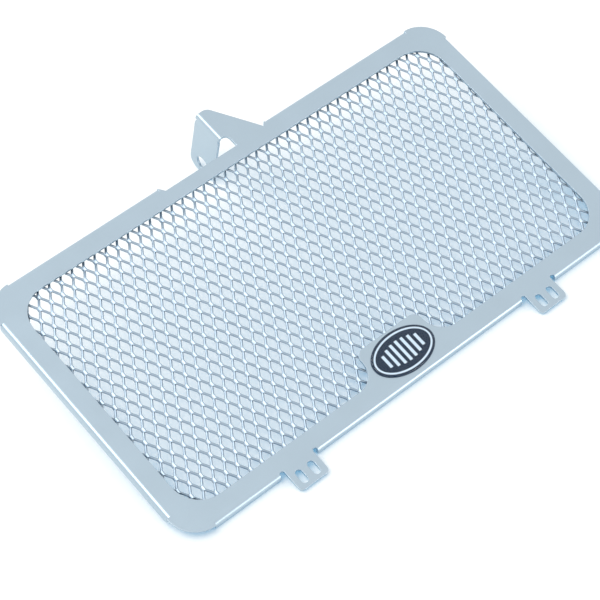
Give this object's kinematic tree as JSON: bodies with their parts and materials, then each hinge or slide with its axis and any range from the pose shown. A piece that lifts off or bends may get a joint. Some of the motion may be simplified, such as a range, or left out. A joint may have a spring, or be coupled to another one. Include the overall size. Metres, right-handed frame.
{
  "type": "motorcycle radiator guard",
  "caption": "Folded aluminium frame round a window of expanded mesh, with a lug on an arm at the top, slotted tie tabs at the bottom and a domed oval badge; shields a radiator from stones.",
  "frame": {"origin": "centre of the lug's bolt hole, on the lug's outer face", "axes": "+Z out of the front face, +X along the long side, +Y from the tie tabs towards the arm; the bolt hole runs along X"},
  "size_m": [0.3, 0.1983, 0.0446],
  "materials": {
    "frame": "satin silver, evenly coated",
    "mesh": "satin silver, bright at the knuckles",
    "badge_label": "printed dark blue-grey with pale fields",
    "badge_dome": "clear domed resin, glossy"
  },
  "bodies": {
    "root": {"frame": "frame", "mesh_panel": "mesh", "badge_label": "badge_label", "badge_dome": "badge_dome"}
  },
  "joints": []
}
